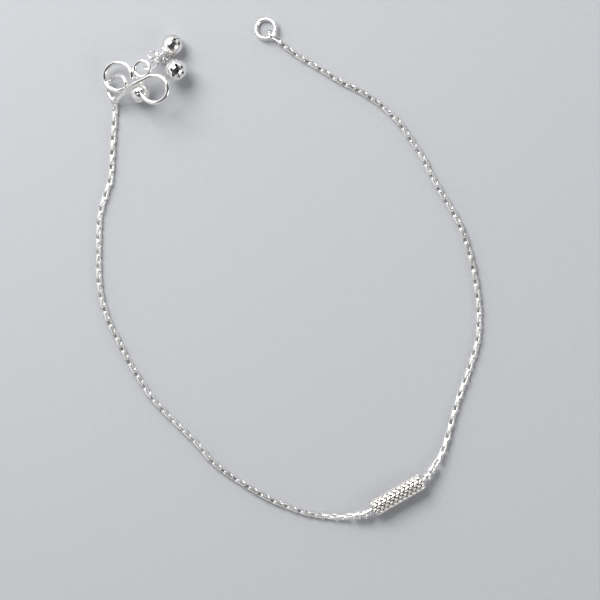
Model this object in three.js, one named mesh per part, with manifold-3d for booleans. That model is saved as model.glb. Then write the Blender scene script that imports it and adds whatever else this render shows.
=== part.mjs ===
// A payal anklet in silver, laid open on a flat surface: a long box chain with a woven barrel
// bead on its lower run, a plain ring at one end, and at the other an S-shaped hook that
// carries three little round bells. Millimetres, +Z up. The origin is the middle of the
// anklet's outline on the surface it lies on; +Y runs from the bead towards the ring and hook.

import * as THREE from 'three';
import { mergeVertices } from 'three/addons/utils/BufferGeometryUtils.js';
import Module from 'manifold-3d';

const wasm = await Module();
wasm.setup();

// ---------------------------------------------------------------- driving dimensions

const WIRE_SIDES = 8; // facets round every wire; one facet lies flat on the surface
const FLAT = Math.cos(Math.PI / WIRE_SIDES); // height of a facet over its corner radius

const CHAIN_RADIUS = 0.65; // over the corners of the links
const CHAIN_STEP = 3.0; // length of one straight stretch of the chain's tube

const BEAD = { length: 13.0, radius: 1.9, bore: 0.8, dome: 0.9, domeRadius: 1.15, sides: 20 };
const BEAD_CENTRE = new THREE.Vector3(23.9, -49.7, BEAD.radius);
const BEAD_ANGLE = THREE.MathUtils.degToRad(29.9); // its axis, turned from +X towards +Y
const SPACER = { radius: 1.05, bore: 0.7, length: 1.0, soft: 0.25, collar: 0.85, sides: 16 };
const PIN_RADIUS = 0.32; // wire that carries the bead and the two spacers
const CUP = { radius: 0.8, flangeRadius: 1.05, flange: [1.2, 1.65], neck: 0.72, sides: 12 };
const CUP_TO_SPACER = 0.45; // along the pin

// The end ring is propped a little on the side where its link passes under it.
const END_RING = { centre: [-5.1, 52.7, 0.93], radius: 2.15, wire: 0.46, prop: 12.5 };
const RING_LINK = { from: [-3.6, 51.28, 1.42], to: [-2.0, 49.95, 0.82], radii: [1.18, 0.55], wire: 0.28 };

// The S-shaped hook leans on the bell under its tip, so its plane rises along +X.
const HOOK_WIRE = 0.5;
const HOOK_LEFT = { centre: [-37.5, 42.1], radius: 3.06, from: -4, to: 294 };
const HOOK_RIGHT = { centre: [-29.4, 39.2], radius: 2.95, from: 114, to: -177 };
const HOOK_TIP = { x: -32.35, z: 5.6 };
const HOOK_SLOPE = 0.4;
const BELL_RING = { centre: [-32.1, 43.67], radius: 1.7, wire: 0.42 };
const HOOK_EYE = { from: [-33.35, 40.8, 4.75], to: [-33.45, 41.66, 3.74], radii: [0.5, 0.85] };

// The pear-shaped ring that ties the hook to the chain stands over the hook's left loop.
const HOOK_LINK_WIRE = 0.38;
const HOOK_LINK_PLANE = { x: -39.7, y: 40.0, z: 1.05, slopeX: 1.35, slopeY: 0.3 };
const EYE_LINK = { from: [-38.3, 36.82, 1.97], to: [-38.25, 36.0, 1.2], radii: [1.05, 0.7] };

const BELL = { radius: 2.4, wall: 0.3, loopRadius: 0.58, loopWire: 0.24, seat: 2.3 };
const BELL_SLIT = { count: 3, width: 0.28, length: 2.2 };
const BELL_HOLE = { count: 6, radius: 0.33, colatitude: 35 };
const LINK_WIRE = 0.25; // small links and jump rings

const SILVER = { color: 0xd4d6d8, roughness: 0.22, metalness: 1.0 };

// ---------------------------------------------------------------- routes

// Centreline of the chain from the hook's eye link to the bead, and from the end ring's link
// to the bead: x, y and height over the lying height of the chain.
const HOOK_SIDE_ROUTE = [
  [-38.2, 34.8, 0], [-38.5, 30.7, 0], [-38.8, 25.6, 0], [-39.0, 22.1, 0], [-39.3, 19.3, 0],
  [-40.0, 17.1, 0], [-41.3, 12.9, 0], [-41.7, 10.2, 0], [-41.85, 6.7, 0], [-41.9, 1.3, 0],
  [-41.7, -3.2, 0], [-41.2, -6.5, 0], [-39.5, -11.9, 0], [-37.6, -15.7, 0], [-35.4, -20.1, 0],
  [-32.7, -24.5, 0], [-30.6, -27.8, 0], [-26.2, -32.6, 0], [-21.8, -36.9, 0], [-19.6, -39.2, 0],
  [-17.4, -41.8, 0], [-15.2, -43.8, 0], [-10.8, -46.8, 0], [-4.2, -50.7, 0], [0.2, -52.5, 0],
  [4.6, -53.9, 0.01], [8.8, -54.5, 0.1], [11.3, -54.6, 0.45], [13.5, -54.45, 0.95],
];
const RING_SIDE_ROUTE = [
  [-1.1, 49.0, 0], [2.4, 46.5, 0], [6.8, 43.9, 0], [11.2, 41.2, 0], [15.6, 39.0, 0],
  [20.0, 36.1, 0], [22.2, 34.1, 0], [24.0, 32.3, 0], [26.8, 28.3, 0], [29.6, 23.9, 0],
  [31.8, 19.5, 0], [34.4, 15.1, 0], [37.0, 10.7, 0], [38.8, 6.3, 0], [40.1, 1.9, 0],
  [41.0, -2.5, 0], [41.6, -6.9, 0], [41.8, -11.3, 0], [41.5, -15.7, 0], [40.3, -20.1, 0],
  [38.8, -24.5, 0], [37.2, -28.9, 0], [35.9, -33.3, 0.01], [34.7, -37.7, 0.12],
  [33.8, -40.2, 0.4], [32.55, -42.65, 0.9],
];

// The pin under the bead, from cup to cup: x, y, z of the cups' outer ends and the spacers.
const PIN_LEFT = { cup: [14.0, -54.4, 1.6], spacer: [16.7, -53.95, 1.85], collar: 0.75 };
const PIN_RIGHT = { cup: [31.95, -43.3, 1.6], spacer: [30.35, -45.75, 1.85], collar: 0 };

// Plan of the pear-shaped ring between the hook and the chain, from its narrow end.
const HOOK_LINK_PLAN = [
  [-38.3, 36.7], [-39.3, 37.8], [-39.8, 39.3], [-39.5, 40.7], [-38.6, 41.8],
  [-37.4, 42.3], [-36.3, 41.7], [-35.65, 40.5], [-35.8, 39.0], [-36.85, 37.7],
];

// ---------------------------------------------------------------- geometry helpers

const vector = ([x, y, z]) => new THREE.Vector3(x, y, z);

/** Octagonal section with a facet underneath, to be carried along a path. */
function wireSection(radius) {
  const section = new THREE.Shape();
  for (let side = 0; side < WIRE_SIDES; side += 1) {
    const angle = ((side + 0.5) * 2 * Math.PI) / WIRE_SIDES;
    const x = radius * Math.cos(angle);
    const y = radius * Math.sin(angle);
    if (side === 0) section.moveTo(x, y);
    else section.lineTo(x, y);
  }
  section.closePath();
  return section;
}

/** Round wire with flat ends along an open curve. */
function openWire(curve, radius, steps) {
  return new THREE.ExtrudeGeometry(wireSection(radius), {
    steps, extrudePath: curve, bevelEnabled: false, curveSegments: 1,
  });
}

/** Round wire along a closed curve. */
function closedWire(curve, radius, steps) {
  return new THREE.TubeGeometry(curve, steps, radius, WIRE_SIDES, true);
}

/** Flat-lying ring of round wire about the Z axis, with a facet underneath. */
function flatRing(radius, wire, segments) {
  const profile = [];
  for (let side = 0; side <= WIRE_SIDES; side += 1) {
    const angle = ((side + 0.5) * 2 * Math.PI) / WIRE_SIDES;
    profile.push(new THREE.Vector2(radius + wire * Math.cos(angle), wire * Math.sin(angle)));
  }
  return new THREE.LatheGeometry(profile, segments).rotateX(Math.PI / 2);
}

/** Solid or bored body turned about the X axis from [radius, x] corners of its outline. */
function turned(corners, sides) {
  const outline = corners.map(([radius, x]) => new THREE.Vector2(radius, x));
  return new THREE.LatheGeometry(outline, sides).rotateZ(-Math.PI / 2);
}

/** Round-ended link: half circles about a and b joined by straight sides, in one plane. */
class LinkCurve extends THREE.Curve {
  constructor(a, b, radiusA, radiusB, normal) {
    super();
    Object.assign(this, { a, b, radiusA, radiusB });
    this.along = b.clone().sub(a);
    this.reach = this.along.length();
    this.along.normalize();
    const square = normal.clone().addScaledVector(this.along, -normal.dot(this.along));
    this.across = square.normalize().cross(this.along);
  }

  /** Point at an angle round one of the two ends. */
  round(centre, radius, angle) {
    return centre.clone()
      .addScaledVector(this.along, radius * Math.cos(angle))
      .addScaledVector(this.across, radius * Math.sin(angle));
  }

  getPoint(t, target = new THREE.Vector3()) {
    const arcA = Math.PI * this.radiusA;
    const arcB = Math.PI * this.radiusB;
    const quarter = Math.PI / 2;
    let s = (t % 1) * (arcA + arcB + 2 * this.reach);
    if (s < arcB) return target.copy(this.round(this.b, this.radiusB, s / this.radiusB - quarter));
    s -= arcB;
    if (s < this.reach) return target.copy(this.side(1, s / this.reach));
    s -= this.reach;
    if (s < arcA) return target.copy(this.round(this.a, this.radiusA, quarter + s / this.radiusA));
    return target.copy(this.side(-1, 1 - (s - arcA) / this.reach));
  }

  /** Point on a straight side, from b's end at 0 to a's end at 1. */
  side(sign, share) {
    const atB = this.round(this.b, this.radiusB, (sign * Math.PI) / 2);
    const atA = this.round(this.a, this.radiusA, (sign * Math.PI) / 2);
    return atB.lerp(atA, share);
  }
}

// ---------------------------------------------------------------- solids

/** A closed mesh as a solid that can be joined and cut. */
function solid(geometry) {
  const bare = new THREE.BufferGeometry();
  bare.setAttribute('position', geometry.getAttribute('position').clone());
  if (geometry.index) bare.setIndex(geometry.index.clone());
  const merged = mergeVertices(bare, 1e-4);
  return new wasm.Manifold(new wasm.Mesh({
    numProp: 3,
    vertProperties: new Float32Array(merged.getAttribute('position').array),
    triVerts: new Uint32Array(merged.index.array),
  }));
}

/** The mesh of a solid. */
function meshOf(body) {
  const { vertProperties, triVerts } = body.getMesh();
  const geometry = new THREE.BufferGeometry();
  geometry.setAttribute('position', new THREE.BufferAttribute(vertProperties, 3));
  geometry.setIndex(new THREE.BufferAttribute(triVerts, 1));
  geometry.computeVertexNormals();
  return geometry;
}

const union = (...geometries) => meshOf(geometries.map(solid).reduce((a, b) => a.add(b)));

// ---------------------------------------------------------------- the anklet

const anklet = new THREE.Group();

/** Add one named silver piece. */
function piece(name, geometry, position = [0, 0, 0]) {
  const mesh = new THREE.Mesh(geometry, new THREE.MeshStandardMaterial(SILVER));
  mesh.name = name;
  mesh.position.set(...position);
  anklet.add(mesh);
  return mesh;
}

/** One half of the chain as a tube over the corners of its links. */
function chainSide(name, route) {
  const lying = CHAIN_RADIUS * FLAT;
  const curve = new THREE.CatmullRomCurve3(route.map(([x, y, rise]) => vector([x, y, lying + rise])));
  piece(name, openWire(curve, CHAIN_RADIUS, Math.round(curve.getLength() / CHAIN_STEP)));
}

/** Woven barrel bead: a tube with domed ends. */
function barrelBead() {
  const half = BEAD.length / 2;
  const { radius, bore, dome, domeRadius, sides } = BEAD;
  const shoulder = (radius + domeRadius) / 2;
  const outline = [
    [bore, -half], [domeRadius, -half], [shoulder, dome * 0.3 - half], [radius, dome - half],
    [radius, half - dome], [shoulder, half - dome * 0.3], [domeRadius, half], [bore, half],
    [bore, -half],
  ];
  const bead = piece('barrel_bead', turned(outline, sides), BEAD_CENTRE.toArray());
  bead.rotation.z = BEAD_ANGLE;
}

/** Turn a mesh's X axis to a direction. */
function pointX(mesh, direction) {
  const unit = direction.clone().normalize();
  mesh.quaternion.setFromUnitVectors(new THREE.Vector3(1, 0, 0), unit);
}

/** Round spacer between the bead and a cup, with a collar of a given length towards the bead. */
function spacer(name, centre, along, collarLength) {
  const { radius, bore, length, soft, collar, sides } = SPACER;
  const half = length / 2;
  const outline = [
    [bore, -half], [radius - soft, -half], [radius, soft - half], [radius, half - soft],
    [radius - soft, half], [bore, half], [bore, -half],
  ];
  if (collarLength > 0) {
    const end = half + collarLength;
    outline.splice(4, 2, [collar, half], [collar, end], [bore, end]);
  }
  pointX(piece(name, turned(outline, sides), centre), along);
}

/** The pin through bead and spacers, with the two cups that take the chain's ends. */
function beadPin() {
  const axis = new THREE.Vector3(Math.cos(BEAD_ANGLE), Math.sin(BEAD_ANGLE), 0);
  const inBead = (s) => BEAD_CENTRE.clone().addScaledVector(axis, s);
  const { radius, flangeRadius, flange, neck, sides } = CUP;
  const bodies = [];
  const ends = [[PIN_LEFT, -1], [PIN_RIGHT, 1]].map(([end, side]) => {
    const outer = vector(end.cup);
    const inward = vector(end.spacer).sub(outer);
    const length = inward.length() - SPACER.length / 2 - CUP_TO_SPACER;
    inward.normalize();
    const cup = turned([
      [0, 0], [radius, 0], [radius, flange[0]], [flangeRadius, flange[0]],
      [flangeRadius, flange[1]], [neck, flange[1]], [neck, length], [0, length],
    ], sides);
    const turn = new THREE.Quaternion().setFromUnitVectors(new THREE.Vector3(1, 0, 0), inward);
    cup.applyQuaternion(turn).translate(...end.cup);
    bodies.push(cup);
    const beadEnd = inBead((side * BEAD.length) / 2);
    const name = side < 0 ? 'spacer_left' : 'spacer_right';
    spacer(name, end.spacer, beadEnd.sub(outer).addScaledVector(inward, -length), end.collar);
    return [outer.addScaledVector(inward, length / 2), vector(end.spacer)];
  });
  const route = [
    ends[0][0], ends[0][1], inBead(-BEAD.length / 2), inBead(0), inBead(BEAD.length / 2),
    ends[1][1], ends[1][0],
  ];
  bodies.push(openWire(new THREE.CatmullRomCurve3(route), PIN_RADIUS, 24));
  piece('bead_pin', union(...bodies));
}

/** Closed link about two points, each with its own end radius, in a plane of given normal. */
function link(name, from, to, radii, wire, normal) {
  const curve = new LinkCurve(vector(from), vector(to), ...radii, vector(normal));
  piece(name, closedWire(curve, wire, 20));
}

/** The plain end ring and the link that ties it to the chain. */
function ringEnd() {
  const { centre, radius, wire, prop } = END_RING;
  const towardsLink = vector(RING_LINK.from).sub(vector(centre)).setZ(0).normalize();
  const hinge = new THREE.Vector3(towardsLink.y, -towardsLink.x, 0);
  const ring = piece('end_ring', flatRing(radius, wire, 28), centre);
  ring.quaternion.setFromAxisAngle(hinge, THREE.MathUtils.degToRad(prop));
  const { from, to, radii, wire: linkWire } = RING_LINK;
  link('ring_link', from, to, radii, linkWire, [0.6, 0.62, 0.42]);
}

/** Height of the leaning hook's plane. */
const hookHeight = (x) => HOOK_TIP.z + HOOK_SLOPE * (x - HOOK_TIP.x);

/** Points of an arc in plan, lifted into the hook's plane. */
function hookArc({ centre, radius, from, to }, steps) {
  return Array.from({ length: steps + 1 }, (_, step) => {
    const angle = THREE.MathUtils.degToRad(from + ((to - from) * step) / steps);
    const x = centre[0] + radius * Math.cos(angle);
    return new THREE.Vector3(x, centre[1] + radius * Math.sin(angle), hookHeight(x));
  });
}

/** The S-shaped hook with the bell ring soldered to its middle and a bell's eye beneath. */
function sHook() {
  const route = [...hookArc(HOOK_LEFT, 14), ...hookArc(HOOK_RIGHT, 14)];
  const wire = openWire(new THREE.CatmullRomCurve3(route), HOOK_WIRE, 60);
  const ring = hookArc({ ...BELL_RING, from: 0, to: 345 }, 23);
  const ringWire = closedWire(new THREE.CatmullRomCurve3(ring, true), BELL_RING.wire, 20);
  const { from, to, radii } = HOOK_EYE;
  const eye = new LinkCurve(vector(from), vector(to), ...radii, vector([0.3, -0.63, -0.7]));
  piece('s_hook', union(wire, ringWire, closedWire(eye, LINK_WIRE, 18)));
}

/** The pear-shaped ring and the eye link between the hook and the chain. */
function hookEnd() {
  const plane = HOOK_LINK_PLANE;
  const points = HOOK_LINK_PLAN.map(([x, y]) => new THREE.Vector3(
    x, y, plane.z + plane.slopeX * (x - plane.x) + plane.slopeY * (y - plane.y),
  ));
  const curve = new THREE.CatmullRomCurve3(points, true);
  piece('hook_link', closedWire(curve, HOOK_LINK_WIRE, 32));
  const { from, to, radii } = EYE_LINK;
  link('eye_link', from, to, radii, LINK_WIRE, [0.62, 0.1, 0.78]);
}

/** One round bell: a slit and pierced shell with a loop that hangs on a point of a ring. */
function bell(name, centre, hangsOn, hangRadius, loopNormal) {
  const { radius, wall, loopRadius, loopWire, seat } = BELL;
  const middle = vector(centre);
  const towardsLoop = vector(hangsOn).sub(middle).normalize();
  const turn = new THREE.Quaternion().setFromUnitVectors(new THREE.Vector3(0, 0, 1), towardsLoop);
  const place = (geometry) => geometry.applyQuaternion(turn).translate(...centre);
  const ball = (size, across, down) => place(
    new THREE.SphereGeometry(size, across, down).rotateX(Math.PI / 2),
  );
  const loop = new LinkCurve(
    middle.clone().addScaledVector(towardsLoop, seat), vector(hangsOn),
    loopRadius, hangRadius, vector(loopNormal),
  );
  let body = solid(ball(radius, 20, 12)).add(solid(closedWire(loop, loopWire, 18)));
  body = body.subtract(solid(ball(radius - wall, 16, 10)));
  for (let slit = 0; slit < BELL_SLIT.count; slit += 1) {
    const cutter = new THREE.BoxGeometry(BELL_SLIT.length, BELL_SLIT.width, radius)
      .rotateZ((slit * Math.PI) / BELL_SLIT.count).translate(0, 0, -radius);
    body = body.subtract(solid(place(cutter)));
  }
  for (let hole = 0; hole < BELL_HOLE.count; hole += 1) {
    const cutter = new THREE.CylinderGeometry(BELL_HOLE.radius, BELL_HOLE.radius, 1, 8)
      .translate(0, -radius, 0).rotateX(THREE.MathUtils.degToRad(90 - BELL_HOLE.colatitude))
      .rotateZ(((hole + 0.5) * 2 * Math.PI) / BELL_HOLE.count);
    body = body.subtract(solid(place(cutter)));
  }
  piece(name, meshOf(body));
}

/** The three bells and the small links that gather them on the hook's bell ring. */
function bells() {
  link('bell_link', [-30.53, 43.95, 6.38], [-29.32, 45.19, 3.41], [1.13, 0.75], LINK_WIRE,
    [0.16, 1.07, -0.2]);
  const gather = piece('gather_ring', flatRing(1.2, LINK_WIRE, 18), [-29.77, 46.77, 3.11]);
  const tilt = new THREE.Vector3(0.27, 0.71, 0.68).normalize();
  gather.quaternion.setFromUnitVectors(new THREE.Vector3(0, 0, 1), tilt);
  link('middle_link', [-28.65, 46.6, 2.89], [-27.35, 45.72, 0.99], [0.81, 0.85], 0.2,
    [-0.3, 0.96, 0]);
  link('shackle', [-26.97, 46.23, 0.77], [-25.82, 44.84, 0.91], [0.69, 0.93], 0.22,
    [0.33, 0.1, 0.95]);
  bell('bell_1', [-25.7, 49.04, 2.43], [-27.92, 47.08, 1.06], 0.69, [-0.69, 0.72, 0.27]);
  bell('bell_2', [-24.79, 43.47, 4.14], [-25.46, 44.0, 1.08], 0.82, [1.04, 0.38, -0.13]);
  bell('bell_3', [-32.77, 38.69, 2.42], [-33.53, 42.23, 3.11], 0.85, [0.91, 0.38, 0.11]);
}

chainSide('chain_hook_side', HOOK_SIDE_ROUTE);
chainSide('chain_ring_side', RING_SIDE_ROUTE);
barrelBead();
beadPin();
ringEnd();
sHook();
hookEnd();
bells();

export default anklet;
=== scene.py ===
"""A silver payal anklet lying open on a pale surface.

Sizes are in millimetres in the anklet's own frame (Z up, the surface at z = 0) and become metres
when a mesh is made. Every piece is worked out as numpy arrays: a grid of two parameters, or a
section carried along a path.
"""

from __future__ import annotations

import logging
import math
from dataclasses import dataclass, field, replace
from enum import Enum
from typing import Sequence

import bpy
import bmesh
import numpy as np
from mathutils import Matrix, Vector


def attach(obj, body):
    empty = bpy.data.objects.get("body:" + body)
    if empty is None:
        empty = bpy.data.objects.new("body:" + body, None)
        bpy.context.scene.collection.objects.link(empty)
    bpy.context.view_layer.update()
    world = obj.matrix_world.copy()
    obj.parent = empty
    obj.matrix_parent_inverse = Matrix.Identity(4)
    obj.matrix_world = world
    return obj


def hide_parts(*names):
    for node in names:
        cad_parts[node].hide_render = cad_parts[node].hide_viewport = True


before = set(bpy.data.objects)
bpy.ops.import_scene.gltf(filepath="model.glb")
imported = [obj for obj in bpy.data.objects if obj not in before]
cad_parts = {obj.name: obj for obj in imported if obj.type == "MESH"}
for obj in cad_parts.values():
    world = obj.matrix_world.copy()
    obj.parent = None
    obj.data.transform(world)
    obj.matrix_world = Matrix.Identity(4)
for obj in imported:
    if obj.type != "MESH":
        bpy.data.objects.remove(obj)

LOG = logging.getLogger("payal")
Array = np.ndarray
Point = Sequence[float]
Pair = tuple[float, float]
Colour = tuple[float, float, float]
Socket = bpy.types.NodeSocket

MM = 0.001
UP = np.array([0.0, 0.0, 1.0])
MERGE = 2e-7  # vertices nearer than this, in metres, become one
SLIVER = 1e-8  # edges shorter than this, in metres, are dissolved
TIP_SHARE = 0.004  # radius at the tip of a rounded end, over the wire's radius
AXIS_RADIUS = 0.004  # radius of a turned outline where it meets the axis, in millimetres
SMOOTH = 180.0  # degrees: no edge is shaded as an edge
CREASE = 50.0  # degrees: sharper edges are shaded as edges


class Slot(Enum):
    """Material slots of the record."""

    CHAIN = "silver_chain"
    BEAD = "silver_bead"
    WIRE = "silver_wire"
    BELLS = "silver_bells"


class Curl(Enum):
    """Which way an arc of the hook is bent, seen from above."""

    ANTICLOCKWISE = 1
    CLOCKWISE = -1


def unit(vectors: Array) -> Array:
    """Vectors scaled to length one along the last axis."""
    return vectors / np.linalg.norm(vectors, axis=-1, keepdims=True)


def rotation_from_z(direction: Array) -> Array:
    """The smallest rotation that carries +Z to a direction.

    Args:
        direction: unit vector.

    Returns:
        A 3 by 3 matrix, R = I + K + K K / (1 + c), K the cross matrix of Z x direction.
    """
    axis = np.cross(UP, direction)
    skew = np.array([[0, -axis[2], axis[1]], [axis[2], 0, -axis[0]], [-axis[1], axis[0], 0]])
    return np.eye(3) + skew + skew @ skew / (1.0 + direction[2])


def round_angles(count: int) -> Array:
    """Angles spaced evenly round one turn, in radians."""
    return np.linspace(0.0, 2 * np.pi, count, endpoint=False)


@dataclass
class Surface:
    """A patch of quads with a place on the material for every corner.

    Attributes:
        points: vertices, (n, 3), in millimetres.
        faces: vertex indices, (m, 4).
        uv: material coordinates in millimetres for every face corner, (m, 4, 2).
        shade: one value per vertex, 0 in a hollow and 1 on a crown.
    """

    points: Array
    faces: Array
    uv: Array
    shade: Array

    @classmethod
    def grid(
        cls, points: Array, wrap: tuple[bool, bool], span: Pair, shade: Array | None = None
    ) -> Surface:
        """A surface over a grid of points.

        Args:
            points: (rows, columns, 3) positions.
            wrap: whether the rows and the columns close on themselves.
            span: size of the whole grid along columns and along rows, for the material.
            shade: (rows, columns) crown values, or None for all crown.

        Returns:
            The surface, its corners taken in the order (i, j), (i, j+1), (i+1, j+1), (i+1, j).
        """
        rows, columns = points.shape[:2]
        steps_i = rows if wrap[0] else rows - 1
        steps_j = columns if wrap[1] else columns - 1
        i, j = np.meshgrid(np.arange(steps_i), np.arange(steps_j), indexing="ij")
        corner_i = np.stack([i, i, i + 1, i + 1], axis=-1).reshape(-1, 4)
        corner_j = np.stack([j, j + 1, j + 1, j], axis=-1).reshape(-1, 4)
        faces = (corner_i % rows) * columns + (corner_j % columns)
        uv = np.stack([corner_j / steps_j * span[0], corner_i / steps_i * span[1]], axis=-1)
        crown = np.ones(rows * columns) if shade is None else shade.reshape(-1)
        return cls(points.reshape(-1, 3), faces, uv, crown)

    @classmethod
    def joined(cls, parts: Sequence[Surface]) -> Surface:
        """Several surfaces as one."""
        starts = np.cumsum([0] + [len(part.points) for part in parts[:-1]])
        faces = [part.faces + start for part, start in zip(parts, starts)]
        points, uv, shade = (
            np.concatenate([getattr(part, name) for part in parts])
            for name in ("points", "uv", "shade")
        )
        return cls(points, np.concatenate(faces), uv, shade)

    def outward(self) -> Surface:
        """The same closed surface with its faces turned out, told by its signed volume."""
        corners = self.points[self.faces]
        fan = np.cross(corners[:, 1] - corners[:, 0], corners[:, 2] - corners[:, 0])
        fan += np.cross(corners[:, 2] - corners[:, 0], corners[:, 3] - corners[:, 0])
        if np.einsum("ij,ij->", corners[:, 0] - self.points.mean(axis=0), fan) < 0:
            return Surface(self.points, self.faces[:, ::-1], self.uv[:, ::-1], self.shade)
        return self

    def placed(self, turn: Array, place: Point) -> Surface:
        """The same surface turned by a matrix and moved to a place."""
        return Surface(self.points @ turn.T + np.asarray(place), self.faces, self.uv, self.shade)


def along_path(path: Array, closed: bool) -> Array:
    """Unit tangents of a path, from each point's two neighbours."""
    if closed:
        return unit(np.roll(path, -1, axis=0) - np.roll(path, 1, axis=0))
    return unit(np.gradient(path, axis=0))


def lengths_of(path: Array) -> Array:
    """Distance along a path to each of its points."""
    steps = np.linalg.norm(np.diff(path, axis=0), axis=1)
    return np.concatenate([[0.0], np.cumsum(steps)])


def points_at(path: Array, reach: Array, where: Array) -> Array:
    """Points of a path at given distances along it.

    Args:
        path: (n, 3) points.
        reach: distance along the path to each of them.
        where: distances wanted.

    Returns:
        One point for each distance wanted.
    """
    return np.stack([np.interp(where, reach, path[:, axis]) for axis in range(3)], axis=-1)


def even_path(path: Array, count: int, closed: bool = False) -> Array:
    """Points spaced evenly along a path.

    Args:
        path: (n, 3) points; a closed one doesn't repeat its first point.
        count: points wanted.
        closed: whether the path comes back to its start.

    Returns:
        (count, 3) points, interpolated on the distance along the path.
    """
    full = np.concatenate([path, path[:1]]) if closed else path
    reach = lengths_of(full)
    return points_at(full, reach, np.linspace(0.0, reach[-1], count, endpoint=not closed))


def smooth_route(knots: Array, per_span: int = 24, closed: bool = False) -> Array:
    """Centripetal Catmull-Rom curve through given points.

    Each span is the cubic through its two ends whose end slopes come from the neighbouring
    knots, weighted by the square root of the distances between them.

    Args:
        knots: (n, 3) points.
        per_span: points worked out in each span.
        closed: whether the curve comes back to its start.

    Returns:
        (m, 3) points along the curve.
    """
    if closed:
        ring = np.concatenate([knots[-1:], knots, knots[:2]])
    else:
        before, after = 2 * knots[0] - knots[1], 2 * knots[-1] - knots[-2]
        ring = np.concatenate([before[None], knots, after[None]])
    p0, p1, p2, p3 = ring[:-3], ring[1:-2], ring[2:-1], ring[3:]
    d0, d1, d2 = (np.sqrt(np.linalg.norm(b - a, axis=1, keepdims=True))
                  for a, b in ((p0, p1), (p1, p2), (p2, p3)))
    slope1 = ((p1 - p0) / d0 - (p2 - p0) / (d0 + d1) + (p2 - p1) / d1) * d1
    slope2 = ((p2 - p1) / d1 - (p3 - p1) / (d1 + d2) + (p3 - p2) / d2) * d1
    t = np.linspace(0.0, 1.0, per_span, endpoint=False)[None, :, None]
    p1, p2, slope1, slope2 = (part[:, None, :] for part in (p1, p2, slope1, slope2))
    curve = (
        (2 * t**3 - 3 * t**2 + 1) * p1 + (t**3 - 2 * t**2 + t) * slope1
        + (3 * t**2 - 2 * t**3) * p2 + (t**3 - t**2) * slope2
    ).reshape(-1, 3)
    return curve if closed else np.concatenate([curve, knots[-1:]])


def tube(path: Array, radius: float | Array, side: Array, sides: int, closed: bool) -> Surface:
    """Round wire: a circle carried along a path.

    The circle's point at angle a is centre + r cos(a) side' + r sin(a) up', where side' is the
    given side vector made square to the path and up' completes the frame.

    Args:
        path: (n, 3) centreline.
        radius: one radius, or one per point.
        side: (3,) vector, such as the normal of the plane the wire lies in.
        sides: points round the wire.
        closed: whether the wire comes back to its start.

    Returns:
        The wire's surface; that of an open wire isn't capped at its two ends.
    """
    tangent = along_path(path, closed)
    first = unit(side - tangent * (tangent @ side)[:, None])
    second = np.cross(tangent, first)
    angle = round_angles(sides)[None, :, None]
    size = np.broadcast_to(np.asarray(radius, dtype=float), (len(path),))[:, None, None]
    points = path[:, None] + size * (np.cos(angle) * first[:, None] + np.sin(angle) * second[:, None])
    around = 2 * np.pi * float(np.max(size))
    return Surface.grid(points, (closed, True), (around, lengths_of(path)[-1])).outward()


def rounded_ends(path: Array, radius: float, steps: int = 7) -> tuple[Array, Array]:
    """A centreline with half-round ends added.

    At each end the path goes on by r sin(a) while the radius falls as r cos(a), a from 0 to 90
    degrees.

    Args:
        path: (n, 3) centreline of the full-thickness part.
        radius: the wire's radius.
        steps: rings in each end.

    Returns:
        The longer centreline and the radius at each of its points.
    """
    angle = np.linspace(0.0, np.pi / 2, steps + 1)[1:]
    fall = radius * np.cos(angle)
    fall[-1] = radius * TIP_SHARE
    start, end = unit(path[0] - path[1]), unit(path[-1] - path[-2])
    head = path[0] + np.sin(angle)[::-1, None] * radius * start
    tail = path[-1] + np.sin(angle)[:, None] * radius * end
    radii = np.concatenate([fall[::-1], np.full(len(path), radius), fall])
    return np.concatenate([head, path, tail]), radii


def turned(profile: Array, sides: int) -> Surface:
    """A closed outline turned about the X axis.

    Args:
        profile: (n, 2) points, each a radius and an x.
        sides: points round the axis.

    Returns:
        The closed surface.
    """
    angle = round_angles(sides)[None, :]
    radius, x = profile[:, 0, None], profile[:, 1, None]
    points = np.stack([x + 0 * angle, radius * np.cos(angle), radius * np.sin(angle)], axis=-1)
    outline = float(np.linalg.norm(np.diff(profile, axis=0), axis=1).sum())
    around = 2 * np.pi * float(profile[:, 0].max())
    return Surface.grid(points, (True, True), (around, outline)).outward()


def turn_x_to(direction: Array) -> Array:
    """A rotation that carries +X to a direction and keeps Z as upright as it can."""
    across = unit(np.cross(UP, direction))
    return np.stack([direction, across, np.cross(direction, across)], axis=1)


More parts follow.
